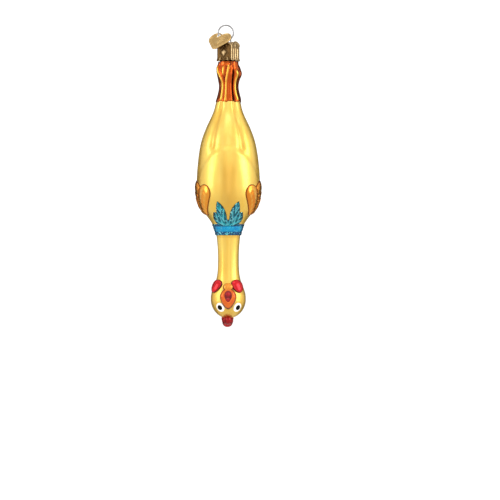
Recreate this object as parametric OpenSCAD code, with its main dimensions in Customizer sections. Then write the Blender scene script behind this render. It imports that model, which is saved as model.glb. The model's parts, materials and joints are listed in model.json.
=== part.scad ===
// Blown-glass hanging ornament in the form of a plucked rubber chicken, hung by its feet.
// It hangs head down with its breast to the front (-Y). Left and right are the viewer's.
// The origin is the inside top of the wire ring, where a hook carries the ornament.

/* [Glass figure] */
// Wall of the blown glass
wall = 1.0; // [0.7:0.1:1.4]
// How far the comb hangs below the crown of the head
comb_drop = 4.4; // [3.5:0.1:5.5]
// Length of the head, from its crown to the jaw
head_len = 22; // [18:0.5:26]
// Width of the head
head_w = 17.2; // [14:0.2:20]
// Length of the neck, from the jaw to the collar
neck_len = 19; // [12:0.5:30]
// Width of the neck at its slimmest
neck_w = 10.2; // [8:0.2:12]
// Height of the collar band
collar_len = 5.4; // [4:0.2:7]
// Width of the glass at the collar's top edge
shoulder_w = 15.6; // [14:0.2:18]
// Length of the body, from the collar to the legs
body_len = 60; // [48:1:76]
// Width of the body at its widest
body_w = 31.2; // [25:0.2:38]
// Width where the legs leave the body
hip_w = 12.2; // [11:0.2:14]
// Length of the legs, from the body to the cap
leg_len = 20; // [16:0.5:24]
// Width of the two legs together at the ankles
ankle_w = 8.6; // [8:0.1:10]
// Width of the two feet together
foot_w = 11; // [9.5:0.1:13]

/* [Painted and moulded features] */
// Thickness of the lacquered legs over the glass
leg_coat = 0.4; // [0.3:0.05:0.6]
// How far the folded wings stand proud of the body
wing_relief = 1.0; // [0.6:0.1:1.6]
// Length of a wing
wing_len = 18; // [14:0.5:22]
// Width of a wing
wing_w = 16; // [12:0.5:19]
// Thickness of the glitter on the collar and its feathers
glitter = 0.5; // [0.3:0.05:0.8]
// Length of a collar feather
feather_len = 12.5; // [9:0.5:15]
// Width of a collar feather
feather_w = 5; // [4:0.1:6]
// How far the wattles stand proud of the head
wattle_relief = 1.4; // [0.8:0.1:2]
// Width of a wattle
wattle_w = 6; // [4.8:0.1:6.6]
// Length of the open beak
beak_len = 11; // [9:0.2:13]
// Width of the beak
beak_w = 8.2; // [6.6:0.2:9.6]
// How far the beak stands proud of the head
beak_relief = 3; // [2:0.1:4.5]
// Diameter of the open mouth
mouth_d = 3.4; // [2.6:0.1:4.2]
// Diameter of the white of an eye
eye_d = 4.1; // [3:0.1:4.4]
// Diameter of a pupil
pupil_d = 2.4; // [1.6:0.1:2.6]
// Thickness of each layer of enamel on the eyes
enamel = 0.3; // [0.2:0.05:0.5]
// Width of the comb
comb_w = 5.2; // [4.4:0.2:6]

/* [Cap] */
// Diameter of the glass neck that the cap covers
pike_d = 7.6; // [6.8:0.1:8]
// Thickness of the cap's wall at the middle of each side
cap_wall = 0.4; // [0.3:0.05:0.8]
// Height of the cap
cap_h = 9.7; // [8:0.1:12]
// Rise of the arched top of each side
cap_arch = 2; // [1:0.1:2.4]
// Turn of the cap about the figure's axis
cap_angle = 31; // [0:1:90]
// Clearance between the glass neck and the cap's bore
cap_fit = 0.1; // [0.05:0.01:0.2]

/* [Wire hanger] */
// Diameter of the hanger wire
wire_d = 0.7; // [0.5:0.05:0.9]
// Outer diameter of the ring
ring_d = 8.2; // [7:0.1:10]
// Distance between the two legs of the wire
leg_gap = 2.4; // [2:0.1:3]
// Length of the legs inside the cap
wire_leg = 12; // [9:0.5:15]
// Clearance of the wire in the cap's two holes
wire_fit = 0.08; // [0.05:0.01:0.15]
// Clearance between the ring and the cap's top
ring_fit = 0.25; // [0.2:0.05:0.5]

/* [Heart tag] */
// Width of the heart
tag_w = 12; // [10:0.2:13]
// Thickness of the heart's sheet
tag_t = 0.3; // [0.2:0.05:0.4]
// Thickness of the heart's raised edge
tag_edge_t = 0.7; // [0.5:0.05:1]
// Width of the heart's raised edge
tag_edge_w = 0.7; // [0.5:0.05:1]
// Diameter of the hole that the ring passes through
tag_hole_d = 2; // [1.9:0.05:2.2]
// Lean of the heart, back against the ring at its top
tag_lean = 50; // [44:1:54]
// How far round the ring the heart hangs, below the ring's left side
tag_round = 22; // [14:1:30]

/* [Hidden] */
$fn = 96;

// Heights above the comb's tip
crown_z = comb_drop;
head_z = crown_z + 0.42 * head_len;
jaw_z = crown_z + head_len;
collar_z = jaw_z + neck_len;
shoulder_z = collar_z + collar_len;
hip_z = shoulder_z + body_len;
seat_z = hip_z + leg_len;
cap_z = seat_z + 0.4;
cap_top = cap_z + cap_h;
pike_top = cap_top - cap_arch - 0.7;
ring_r = (ring_d - wire_d) / 2;
ring_z = cap_top + ring_fit + ring_d / 2;
hang_z = ring_z + ring_d / 2 - wire_d;
ring_x = -leg_gap / 2;
cap_w = pike_d + 2 * (cap_fit + cap_wall);

// Outline of the figure above the head's widest point, as [height, radius] stations
neck_r = neck_w / 2;
head_r = head_w / 2;
shoulder_r = shoulder_w / 2;
body_r = body_w / 2;
hip_r = hip_w / 2;
stations = concat(
  [for (s = [[0, 1], [0.25, 0.93], [0.5, 0.62], [0.75, 0.26], [1, 0.08]])
    [head_z + s[0] * (jaw_z - head_z), neck_r + s[1] * (head_r - neck_r)]],
  [for (s = [[0.3, 0], [0.6, 0.03], [0.85, 0.16], [1, 0.3]])
    [jaw_z + s[0] * neck_len, neck_r + s[1] * (shoulder_r - neck_r)]],
  [[shoulder_z, shoulder_r]],
  [for (s = [[0.06, 0.32], [0.12, 0.67], [0.2, 0.91], [0.3, 1]])
    [shoulder_z + s[0] * body_len, shoulder_r + s[1] * (body_r - shoulder_r)]],
  [for (s = [[0.4, 0.99], [0.5, 0.94], [0.6, 0.85], [0.7, 0.71], [0.8, 0.47], [0.88, 0.23],
             [0.94, 0.08], [1, 0]])
    [shoulder_z + s[0] * body_len, hip_r + s[1] * (body_r - hip_r)]],
  [
    [hip_z + 0.22 * leg_len, (hip_w + 2 * ankle_w) / 6],
    [hip_z + 0.4 * leg_len, ankle_w / 2],
    [hip_z + 0.58 * leg_len, (ankle_w + foot_w) / 4],
    [hip_z + 0.76 * leg_len, foot_w / 2],
    [seat_z, ankle_w / 2 + 0.2]
  ]
);

// Smooth curve through the stations: a cubic in each stretch, level with its neighbours' slope
last = len(stations) - 1;
function stretch(z, i = 0) = i >= last - 1 || z < stations[i + 1][0] ? i : stretch(z, i + 1);
function slope(i) =
  let (a = stations[max(i - 1, 0)], b = stations[min(i + 1, last)]) (b[1] - a[1]) / (b[0] - a[0]);
function curve_r(z) =
  let (
    i = stretch(z),
    a = stations[i],
    b = stations[i + 1],
    span = b[0] - a[0],
    t = (z - a[0]) / span,
    s0 = i == 0 ? 0 : slope(i)
  )
  (2 * pow(t, 3) - 3 * t * t + 1) * a[1] + (pow(t, 3) - 2 * t * t + t) * span * s0
  + (3 * t * t - 2 * pow(t, 3)) * b[1] + (pow(t, 3) - t * t) * span * slope(i + 1);

// The whole outline as [radius, height] points, from the crown to the seat of the cap
crown_step = 10;
rings = 72;
outline = concat(
  [for (a = [0 : crown_step : 90 - crown_step])
    [head_r * sin(a), head_z - (head_z - crown_z) * cos(a)]],
  [for (i = [0 : rings]) let (z = head_z + i * (seat_z - head_z) / rings) [curve_r(z), z]]
);
skin_table = [for (p = outline) [p[1], p[0]]];
function skin_r(z) = lookup(z, skin_table);
function skin_slope(z) = (skin_r(z + 0.4) - skin_r(z - 0.4)) / 0.8;
function outward(z) = [1, -skin_slope(z)] / norm([1, skin_slope(z)]);

// Points on the outline from one height to another, pushed out by a distance
function skin(z0, z1, out) = [
  for (p = concat(
    [[skin_r(z0), z0]],
    [for (q = outline) if (q[1] > z0 + 0.05 && q[1] < z1 - 0.05) q],
    [[skin_r(z1), z1]]
  )) p + out * outward(p[1])
];
function backwards(points) = [for (i = [len(points) - 1 : -1 : 0]) points[i]];

// Moves a shape from the figure's own axis and comb tip into the frame of the hanging point
module hung() {
  translate([-ring_x, 0, -hang_z]) children();
}

// The figure with no hollow, for cutting what sits on it
module solid_figure() {
  rotate_extrude() polygon(concat(outline, [[0, seat_z]]));
}

// A coat of even thickness on the figure between two heights
module coat(z0, z1, thick) {
  rotate_extrude() polygon(concat(skin(z0, z1, thick), backwards(skin(z0, z1, 0))));
}

// A pointed oval, upright in the XY plane
module oval(length, width) {
  radius = (length * length + width * width) / (4 * width);
  intersection() {
    translate([radius - width / 2, 0]) circle(r = radius);
    translate([width / 2 - radius, 0]) circle(r = radius);
  }
}

// Carries an upright flat shape to the front half, looking along +Y
module from_front(z) {
  translate([0, 0, z]) rotate([90, 0, 0]) linear_extrude(body_w) children();
}

// Turns a shape that points along -Y to one side of the head, at a height
module facing(turn, z) {
  translate([0, 0, z]) rotate([0, 0, turn]) rotate([90, 0, 0]) children();
}

// Glass
module glass_shell() {
  inner = [for (p = outline) if (p[0] > 1) p - wall * outward(p[1])];
  pike_r = pike_d / 2;
  color("gold") hung() rotate_extrude() polygon(concat(
    outline,
    [[pike_r, seat_z + 0.2], [pike_r, pike_top], [pike_r - wall, pike_top]],
    [[pike_r - wall, seat_z]],
    backwards(inner),
    [[0, crown_z + wall]]
  ));
}

// One lacquered leg and foot, its share of the coat. The groove between the legs is left open
// and runs to the right of the figure's axis.
leg_groove = 0.6;
leg_split = 2;
module leg(side) {
  near = leg_split + side * leg_groove / 2;
  color("peru") hung() intersection() {
    coat(hip_z, seat_z - leg_coat, leg_coat);
    translate([side > 0 ? near : near - 2 * foot_w, -foot_w, hip_z - 1])
      cube([2 * foot_w, 2 * foot_w, leg_len + 2]);
  }
}
module left_leg() leg(-1);
module right_leg() leg(1);

// One folded wing on the side of the body
wing_rise = 4.8;
wing_z = shoulder_z + wing_rise + wing_len / 2;
wing_forward = 4.5;
wing_tilt = 20;
module wing(side) {
  color("chocolate") hung() intersection() {
    coat(wing_z - wing_len / 2 - 1, wing_z + wing_len / 2 + 1, wing_relief);
    mirror([side > 0 ? 0 : 1, 0, 0])
      translate([0, -wing_forward, wing_z]) rotate([90, 0, 90]) linear_extrude(body_w)
        rotate(-wing_tilt) oval(wing_len, wing_w);
  }
}
module left_wing() wing(-1);
module right_wing() wing(1);

// Collar
module collar_band() {
  color("deepskyblue") hung() coat(collar_z, shoulder_z, glitter);
}

// One tuft of two feathers that rises from the collar over the breast
feather_lean = 24;
feather_x = 3.3;
module feathers(side) {
  color("teal") hung() intersection() {
    coat(shoulder_z, shoulder_z + feather_len, glitter);
    mirror([side > 0 ? 0 : 1, 0, 0]) from_front(shoulder_z) {
      translate([feather_x, 0.42 * feather_len]) rotate(-feather_lean) oval(feather_len, feather_w);
      translate([feather_x + 0.8, 0.12 * feather_len]) rotate(-1.9 * feather_lean)
        oval(0.75 * feather_len, feather_w);
    }
  }
}
module left_feathers() feathers(-1);
module right_feathers() feathers(1);

// Head: each feature is cut from a coat of the head or stands on it
wattle_z = head_z + 0.3 * head_len;
module wattle(turn) {
  color("crimson") hung() intersection() {
    coat(wattle_z - wattle_w / 2 - 1, wattle_z + wattle_w / 2 + 1, wattle_relief);
    facing(turn, wattle_z) cylinder(d = wattle_w, h = head_w);
  }
}
module left_wattle() wattle(-49);
module right_wattle() wattle(40);

beak_z = head_z + 0.6;
mouth_z = beak_z + 1.6;
gape_z = mouth_z - 0.5;
mouth_inset = 1.2;
dome_r = 8;
module beak_half(upper) {
  color("darkorange") hung() difference() {
    intersection() {
      translate([0, dome_r - head_r - beak_relief, beak_z]) sphere(r = dome_r);
      from_front(beak_z) oval(beak_len, beak_w);
      translate([-beak_w, -2 * head_w, gape_z - (upper ? beak_len : 0)])
        cube([2 * beak_w, 2 * head_w, beak_len]);
    }
    solid_figure();
    facing(0, mouth_z) cylinder(d = mouth_d, h = 2 * head_w);
  }
}
module upper_beak() beak_half(true);
module lower_beak() beak_half(false);
module mouth() {
  color("firebrick") hung() difference() {
    facing(0, mouth_z) cylinder(d = mouth_d, h = head_r + beak_relief - mouth_inset);
    solid_figure();
  }
}

eye_turn = 32;
eye_z = head_z - 0.19 * head_len;
module eye(side) {
  color("white") hung() intersection() {
    coat(eye_z - eye_d / 2 - 0.4, eye_z + eye_d / 2 + 0.4, enamel);
    facing(side * eye_turn, eye_z) cylinder(d = eye_d, h = head_w);
  }
}
module left_eye() eye(-1);
module right_eye() eye(1);

// A pupil is a disc on the white, from the white's surface outwards
module pupil(side) {
  color("black") hung() difference() {
    intersection() {
      coat(eye_z - eye_d / 2 - 0.4, eye_z + eye_d / 2 + 0.4, 2 * enamel);
      facing(side * eye_turn, eye_z) cylinder(d = pupil_d, h = head_w);
    }
    coat(eye_z - eye_d / 2 - 0.5, eye_z + eye_d / 2 + 0.5, enamel);
  }
}
module left_pupil() pupil(-1);
module right_pupil() pupil(1);

// Three rounded points in a row from front to back under the crown
module comb() {
  lobe_r = comb_w / 2;
  color("darkred") hung() difference() {
    union() {
      translate([0, 0, lobe_r]) sphere(r = lobe_r);
      for (side = [-1, 1])
        translate([0, side * 1.3 * lobe_r, 1.4 * lobe_r]) sphere(r = 0.85 * lobe_r);
      translate([0, 0, lobe_r]) cylinder(r = 0.8 * lobe_r, h = crown_z);
    }
    solid_figure();
  }
}

// Pressed metal cap: a square box with an arched top on each side, a stepped bore for the glass
// neck, two holes for the wire and a raised pattern on its sides
relief = 0.25;
bore_top = pike_top + 0.3;
module cap() {
  half = cap_w / 2;
  arch_r = (half * half + cap_arch * cap_arch) / (2 * cap_arch);
  chamber_top = cap_top - 0.7;
  color("darkgoldenrod") hung() rotate([0, 0, -cap_angle]) difference() {
    union() {
      intersection() {
        translate([-half, -half, cap_z]) cube([cap_w, cap_w, cap_h]);
        cylinder(r = 1.34 * half, h = cap_top + 1);
        union() for (turn = [0, 90])
          translate([0, 0, cap_top - arch_r]) rotate([90, 0, turn])
            cylinder(r = arch_r, h = 2 * cap_w, center = true);
      }
      for (turn = [0, 180]) {
        rotate([0, 0, turn]) translate([0, relief - half, cap_z + 0.42 * cap_h])
          rotate([90, 45, 0]) linear_extrude(2 * relief) square(0.36 * cap_w, center = true);
        for (rib = [-1 : 1])
          rotate([0, 0, turn + 90])
            translate([rib * 0.22 * cap_w - relief, -half - relief, cap_z + 0.5])
              cube([2 * relief, 2 * relief, 0.66 * cap_h]);
      }
    }
    translate([0, 0, cap_z - 1]) cylinder(d = pike_d + 2 * cap_fit, h = bore_top - cap_z + 1);
    cylinder(d = 0.62 * pike_d, h = chamber_top);
    rotate([0, 0, cap_angle]) for (side = [-1, 1])
      translate([side * leg_gap / 2, 0, chamber_top - 1])
        cylinder(d = wire_d + 2 * wire_fit, h = 3);
  }
}

// Spring wire: a ring wound over the left leg, and two legs with small outward feet
foot_clear = 0.15;
module hanger_wire() {
  wire_r = wire_d / 2;
  foot_out = pike_d / 2 - wall - foot_clear - wire_r - leg_gap / 2;
  gap_angle = asin(leg_gap / ring_r);
  foot_z = cap_top - wire_leg;
  color("lightsteelblue") hung() {
    translate([ring_x, 0, ring_z]) rotate([90, 0, 0]) rotate([0, 0, gap_angle - 90])
      rotate_extrude(angle = 360 - gap_angle) translate([ring_r, 0]) circle(r = wire_r);
    for (side = [-1, 1]) {
      top = ring_z - ring_r * (side > 0 ? cos(gap_angle) : 1);
      translate([side * leg_gap / 2, 0, foot_z]) cylinder(r = wire_r, h = top - foot_z);
      translate([side * leg_gap / 2, 0, top]) sphere(r = wire_r);
      translate([side * leg_gap / 2, 0, foot_z]) sphere(r = wire_r);
      translate([side * leg_gap / 2, 0, foot_z]) rotate([0, side * 90, 0])
        cylinder(r = wire_r, h = foot_out);
      translate([side * (leg_gap / 2 + foot_out), 0, foot_z]) sphere(r = wire_r);
    }
  }
}

// Heart outline from a square on its corner and two circles, with its point blunted by an arc
blunt = 1;
module heart(width) {
  side = width / (1 + sqrt(0.5));
  middle = 0.62 * width;
  intersection() {
    union() {
      rotate(45) square(side);
      for (turn = [-1, 1])
        translate([turn * side * sqrt(0.125), side * 1.5 * sqrt(0.5)]) circle(d = side);
    }
    translate([0, middle]) circle(r = middle - blunt);
  }
}

// Pressed heart on the ring's left side, leaning forward over the cap
tag_roll = 32;
tag_spin = -50;
hole_inset = 1.55;
tag_hole_turn = -20;
module heart_tag() {
  lobe = tag_w / (1 + sqrt(0.5)) / 2;
  hole = [
    -lobe * sqrt(0.5) - (lobe - hole_inset) * sin(tag_hole_turn),
    lobe * 3 * sqrt(0.5) + (lobe - hole_inset) * cos(tag_hole_turn)
  ];
  color("goldenrod") hung()
    translate([ring_x - ring_r * cos(tag_round), 0, ring_z - ring_r * sin(tag_round)])
      rotate([0, -tag_roll, 0]) rotate([-tag_lean, 0, 0]) rotate([0, -tag_spin, 0])
        rotate([90, 0, 0]) translate([-hole[0], -hole[1], 0]) difference() {
          union() {
            translate([0, 0, -tag_t / 2]) linear_extrude(tag_t) heart(tag_w);
            translate([0, 0, -tag_edge_t / 2]) linear_extrude(tag_edge_t) difference() {
              heart(tag_w);
              translate([0, 1.5 * tag_edge_w]) heart(tag_w - 2.2 * tag_edge_w);
            }
          }
          translate([hole[0], hole[1], -tag_edge_t])
            cylinder(d = tag_hole_d, h = 2 * tag_edge_t);
        }
}

glass_shell();
left_leg();
right_leg();
left_wing();
right_wing();
collar_band();
left_feathers();
right_feathers();
left_wattle();
right_wattle();
upper_beak();
lower_beak();
mouth();
left_eye();
right_eye();
left_pupil();
right_pupil();
comb();
cap();
hanger_wire();
heart_tag();
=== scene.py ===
"""A blown-glass hanging ornament, a plucked rubber chicken hung by its feet: its looks.

Shapes are worked out in millimetres on the figure's own axis: x to the viewer's right, y to the
back and h, the height above the comb's tip. place() carries them into the frame, in metres.
Left and right are the viewer's. Angles round the axis start at the front and grow to the right.
"""
import json
import math

import bmesh
import bpy
import numpy as np
from mathutils import Matrix, Vector
from mathutils.bvhtree import BVHTree


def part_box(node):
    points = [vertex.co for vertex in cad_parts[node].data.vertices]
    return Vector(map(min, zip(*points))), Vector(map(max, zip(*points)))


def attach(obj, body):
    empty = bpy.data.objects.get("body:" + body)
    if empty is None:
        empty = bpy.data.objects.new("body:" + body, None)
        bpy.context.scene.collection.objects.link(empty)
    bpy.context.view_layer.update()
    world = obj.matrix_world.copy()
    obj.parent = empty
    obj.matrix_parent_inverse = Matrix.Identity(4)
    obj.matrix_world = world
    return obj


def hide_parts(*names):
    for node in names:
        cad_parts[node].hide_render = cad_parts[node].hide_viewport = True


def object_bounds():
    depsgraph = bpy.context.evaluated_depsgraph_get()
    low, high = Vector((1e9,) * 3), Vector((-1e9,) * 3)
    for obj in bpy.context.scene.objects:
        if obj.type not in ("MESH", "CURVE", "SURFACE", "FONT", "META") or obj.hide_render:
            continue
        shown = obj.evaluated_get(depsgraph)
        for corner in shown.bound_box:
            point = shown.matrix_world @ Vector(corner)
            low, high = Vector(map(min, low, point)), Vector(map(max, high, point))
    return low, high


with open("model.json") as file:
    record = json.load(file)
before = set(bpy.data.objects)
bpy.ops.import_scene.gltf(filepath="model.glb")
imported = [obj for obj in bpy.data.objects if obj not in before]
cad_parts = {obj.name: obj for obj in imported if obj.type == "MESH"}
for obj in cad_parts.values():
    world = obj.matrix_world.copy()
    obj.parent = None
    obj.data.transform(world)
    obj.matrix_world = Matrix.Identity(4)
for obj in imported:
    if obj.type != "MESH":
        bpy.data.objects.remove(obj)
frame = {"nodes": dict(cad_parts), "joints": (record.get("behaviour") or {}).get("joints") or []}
cad_box = [list(corner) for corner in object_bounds()]

MM = 0.001
TURN = 2 * math.pi


# ---- Places and sizes, from the frame ----

def low(node):
    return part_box(node)[0]


def high(node):
    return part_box(node)[1]


def middle(node):
    return (low(node) + high(node)) / 2


ORIGIN = Vector((middle("glass_shell").x, 0.0, low("comb").z))


def height(z):
    """Height above the comb's tip, in mm, of a frame height in metres."""
    return (z - ORIGIN.z) / MM


def place(points):
    return np.asarray(points, float) * MM + np.array(ORIGIN)


CROWN = height(low("glass_shell").z)
PIKE_TOP = height(high("glass_shell").z)
COLLAR = height(low("collar_band").z)
SHOULDER = height(high("collar_band").z)
HIP = height(low("left_leg").z)
SEAT = height(high("left_leg").z)
CAP_LOW = height(low("cap").z)
CAP_TOP = height(high("cap").z)
GLASS_WALL = 1.0
COAT = 0.4
LEG_SPLIT = 2.0
ANKLE_R = 4.3


def glass_radii(heights):
    """Outer radius of the CAD glass at each height, by rays from outside to its axis."""
    mesh = frame["nodes"]["glass_shell"].data
    tree = BVHTree.FromPolygons([v.co for v in mesh.vertices], [p.vertices for p in mesh.polygons])
    radii = []
    for h in heights:
        start = ORIGIN + Vector((-0.1, 0.0, h * MM))
        hit = tree.ray_cast(start, Vector((1, 0, 0)))[0]
        radii.append((ORIGIN.x - hit.x) / MM if hit else 0.0)
    return np.array(radii)


def unit(value):
    return np.clip(value, 0, 1)


def circle(count):
    """That many even steps of angle round a circle."""
    return np.linspace(0, TURN, count, endpoint=False)


def dome(share, power):
    """A rounded rise, from 0 where share is 1 to 1 in the middle."""
    return np.sqrt(unit(1 - share ** power))


def smoothed(values, width):
    """Values with a bell-shaped mean over about that many neighbours on each side."""
    reach = 3 * width
    weights = np.exp(-(np.arange(-reach, reach + 1) / width) ** 2)
    padded = np.pad(values, reach, mode="edge")
    return np.convolve(padded, weights / weights.sum(), mode="valid")


PROFILE_H = np.arange(CROWN + 0.05, SEAT, 0.1)
PROFILE_R = glass_radii(PROFILE_H)
in_head = PROFILE_H < (CROWN + COLLAR) / 2
HEAD_R = PROFILE_R[in_head].max()
HEAD = float(PROFILE_H[in_head][PROFILE_R[in_head] > HEAD_R - 0.004].mean())
PROFILE_R = smoothed(PROFILE_R, 9)
BODY_R = PROFILE_R.max()


def profile(h):
    """Radius of the plain figure: half an ellipse under the head, then the CAD's line."""
    h = np.asarray(h, float)
    under = HEAD_R * dome((HEAD - h) / (HEAD - CROWN), 2)
    return np.where(h < HEAD, under, np.interp(h, PROFILE_H, PROFILE_R))


# ---- Relief of the blown figure ----

def bell(value, width):
    return np.exp(-(value / width) ** 2)


def pair(value, apart, width):
    return bell(value - apart, width) + bell(value + apart, width)


def ease(value, start, end):
    t = unit((value - start) / (end - start))
    return t * t * (3 - 2 * t)


def window(value, start, end, soft):
    return ease(value, start - soft, start + soft) * (1 - ease(value, end - soft, end + soft))


def turned(theta, degrees):
    """Degrees from a direction, given in degrees, between -180 and 180."""
    return (np.degrees(theta) - degrees + 180) % 360 - 180


def body_relief(theta, h):
    """Thighs, the folds beside the belly, the breast's arch and keel, the back's spine."""
    s = (h - SHOULDER) / (HIP - SHOULDER)
    front = ease(np.cos(theta), -0.1, 0.4)
    at = turned(theta, 0)
    relief = 0.0 * (theta + h)
    for fold, foot in ((-33 - 6 * (1 - s), 0.60), (27 + 8 * (1 - s), 0.59)):
        reach = window(s, foot, 1.02, 0.05)
        relief -= 0.60 * bell(at - fold, 7.5) * reach
        relief -= 0.20 * bell(at - fold, 8) * bell(s - foot - 0.03, 0.035)
        relief += 0.38 * bell(at - fold * 1.9, 22) * window(s, foot - 0.04, 0.98, 0.10)
    relief += 0.30 * bell(at + 3, 17) * window(s, 0.66, 1.0, 0.08)
    arch = 0.635 - 0.075 * (at / 38) ** 2
    breast = ease(arch - s, -0.016, 0.055) * window(s, 0.12, 0.9, 0.12)
    relief += 0.80 * breast * bell(at, 46) * front
    relief += 0.12 * bell(at, 9) * window(s, 0.12, 0.46, 0.09)
    relief -= 0.22 * pair(at, 19, 9) * window(s, 0.1, 0.42, 0.08)
    back = turned(theta, 180)
    relief += 0.35 * bell(back, 8) * window(s, 0.1, 0.85, 0.12)
    relief -= 0.30 * pair(back, 20, 9) * window(s, 0.15, 0.75, 0.12)
    relief += 1.1 * bell(back, 16) * bell(s - 0.84, 0.055)
    relief += 0.4 * pair(back, 48, 20) * window(s, 0.55, 0.95, 0.1)
    return relief


# Each tendon: its angle up the leg in degrees, its rise and width, the strength and width of
# its painted highlight, and where it starts and ends as shares of the leg
STRANDS = (
    (lambda q: -35 - 34 * ease(q, 0.45, 0.95), 0.55, 12, 1.0, 6.0, 0.04, 0.92),
    (lambda q: -13 + 16 * ease(q, 0.40, 1.0), 0.50, 10, 1.0, 5.0, 0.02, 0.93),
    (lambda q: -31 + 6 * q, 0.30, 8, 0.8, 5.0, 0.68, 0.90),
    (lambda q: 12 + 6 * q, 0.30, 9, 0.2, 5.0, 0.05, 0.9),
    (lambda q: 43 + 6 * bell(q - 0.68, 0.10) + 7 * bell(q, 0.15), 0.60, 11, 1.0, 6.5, 0.05, 0.80),
    (lambda q: 148, 0.55, 16, 1.0, 6.5, 0.04, 0.92),
    (lambda q: -164, 0.45, 12, 1.0, 5.0, 0.04, 0.92),
    (lambda q: -118, 0.50, 15, 0.8, 6.5, 0.04, 0.92),
    (lambda q: 96, 0.50, 15, 0.8, 6.5, 0.04, 0.92),
)


def leg_relief(theta, h):
    """Tendons, the deep line between the legs, spread toes and the heel's knob."""
    q = (h - HIP) / (SEAT - HIP)
    at = turned(theta, 0)
    along = window(q, 0.02, 0.97, 0.06)
    relief = 0.0 * (theta + h)
    for line, rise, width, _, _, start, end in STRANDS:
        relief += rise * bell(turned(theta, line(q)), width) * window(q, start, end, 0.05)
    grooves = ((28, 0.85, 7, 0.03, 0.80), (-24, 0.55, 5, 0.05, 0.66), (176, 0.8, 8, 0.05, 0.9))
    for line, depth, width, start, end in grooves:
        relief -= depth * bell(turned(theta, line), width) * window(q, start, end, 0.06)
    for toe_line in (-46 - 8 * ease(q, 0.6, 0.9), -16 + 6 * ease(q, 0.6, 0.9)):
        relief -= 0.45 * bell(at - toe_line, 5) * window(q, 0.62, 0.94, 0.06)
    relief -= 0.6 * bell(at - 12, 9) * ease(q, 0.78, 0.95) * along
    relief += 0.75 * bell(turned(theta, 82), 26) * bell(q - 0.71, 0.10)
    relief += 0.35 * bell(turned(theta, -84), 24) * bell(q - 0.86, 0.10)
    relief += 0.4 * bell(turned(theta, 170), 26) * bell(q - 0.78, 0.12)
    return relief - 0.15 * along


def head_relief(theta, h):
    """Brows over the eyes, cheeks beside the beak and a parting under the crown."""
    relief = 0.0 * (theta + h)
    for side in (-1, 1):
        relief += 0.35 * bell(turned(theta, side * 33), 24) * bell(h - EYE_H - 0.6, 3.0)
        relief += 0.25 * bell(turned(theta, side * 62), 22) * bell(h - HEAD - 1.0, 3.2)
    relief -= 0.3 * bell(turned(theta, 0), 12) * bell(h - EYE_H + 2.2, 2.0)
    neck = window(h, HEAD + 10, COLLAR, 4)
    for line in (-72, -34, 8, 46, 95, 150, 200, 245):
        relief += 0.10 * bell(turned(theta, line), 12) * neck
    return relief


EYE_H = height(middle("left_eye").z) + 0.5
EYE_SHIFT = math.radians(3)


def relief(theta, h):
    total = np.where(h > SHOULDER, body_relief(theta, h) * (1 - ease(h, HIP, HIP + 3)), 0)
    total = total + leg_relief(theta, h) * ease(h, HIP - 1.5, HIP + 2.5)
    total = total + head_relief(theta, h) * (h < COLLAR)
    return total * ease(h, CROWN, CROWN + 2.5) * (1 - ease(h, SEAT - 0.6, SEAT))


def skin(theta, h):
    """Radius of the moulded figure."""
    return profile(h) + relief(theta, h)


def angle_of(points):
    return np.arctan2(points[:, 0], -points[:, 1])


def on_skin(theta, h, out=0.0):
    """Points on the figure, or that far outside it along its outward direction."""
    theta, h = np.broadcast_arrays(np.asarray(theta, float), np.asarray(h, float))
    slope = (profile(h + 0.3) - profile(np.maximum(h - 0.3, CROWN))) / 0.6
    slope = np.clip(slope, -6, 6)
    size = np.sqrt(1 + slope ** 2)
    radius = skin(theta, h) + out / size
    return np.stack(
        [radius * np.sin(theta), -radius * np.cos(theta), h - out * slope / size], axis=-1
    )


def how_far(inside, shape, longest):
    """How far rays run before they leave a shape, found by halving."""
    near, far = np.zeros(shape), np.full(shape, longest)
    for _ in range(34):
        reach = (near + far) / 2
        within = inside(reach)
        near, far = np.where(within, reach, near), np.where(within, far, reach)
    return near


def seen_from(across, up, turn, h0):
    """Angle and height of the skin under points of a view from one side, level with h0."""
    def spot(reach):
        x = across * math.cos(turn) + reach * math.sin(turn)
        y = across * math.sin(turn) - reach * math.cos(turn)
        return np.arctan2(x, -y), np.hypot(x, y)

    def inside(reach):
        theta, radius = spot(reach)
        return radius <= skin(theta, h0 + up)

    return spot(how_far(inside, across.shape, 2 * BODY_R))[0], h0 + up


def wrapped(across, up, turn, h0):
    """Angle and height of the skin under a flat patch laid round it."""
    h = h0 + up
    return turn + across / np.maximum(profile(h), 2.0), h


# ---- Mesh building ----

def xyz(x, y, z):
    return np.stack([x, y, z], -1)


def bridge(a, b, columns, around=True):
    """Quads between two rows of points."""
    return [(a + i, a + (i + 1) % columns, b + (i + 1) % columns, b + i)
            for i in range(columns if around else columns - 1)]


def grid(rows, columns, start=0, around=True):
    starts = [start + row * columns for row in range(rows)]
    return [face for a, b in zip(starts, starts[1:]) for face in bridge(a, b, columns, around)]


def fan(centre, start, columns):
    """Triangles from a point to a ring."""
    return [(centre, start + i, start + (i + 1) % columns) for i in range(columns)]


def barrel(rows, columns):
    """Faces of a closed form, whose points are its rings and then its two ends."""
    count = rows * columns
    return grid(rows, columns) + fan(count, 0, columns) + fan(count + 1, count - columns, columns)


def closed_mesh(name, points, faces):
    """A mesh in the frame, from points in mm, with its faces looking outwards."""
    mesh = bpy.data.meshes.new(name)
    mesh.from_pydata(place(points).tolist(), [], faces)
    solid = bmesh.new()
    solid.from_mesh(mesh)
    bmesh.ops.recalc_face_normals(solid, faces=solid.faces)
    solid.to_mesh(mesh)
    solid.free()
    return mesh


def new_object(name, data):
    made = bpy.data.objects.new(name, data)
    bpy.context.scene.collection.objects.link(made)
    return made


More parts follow.
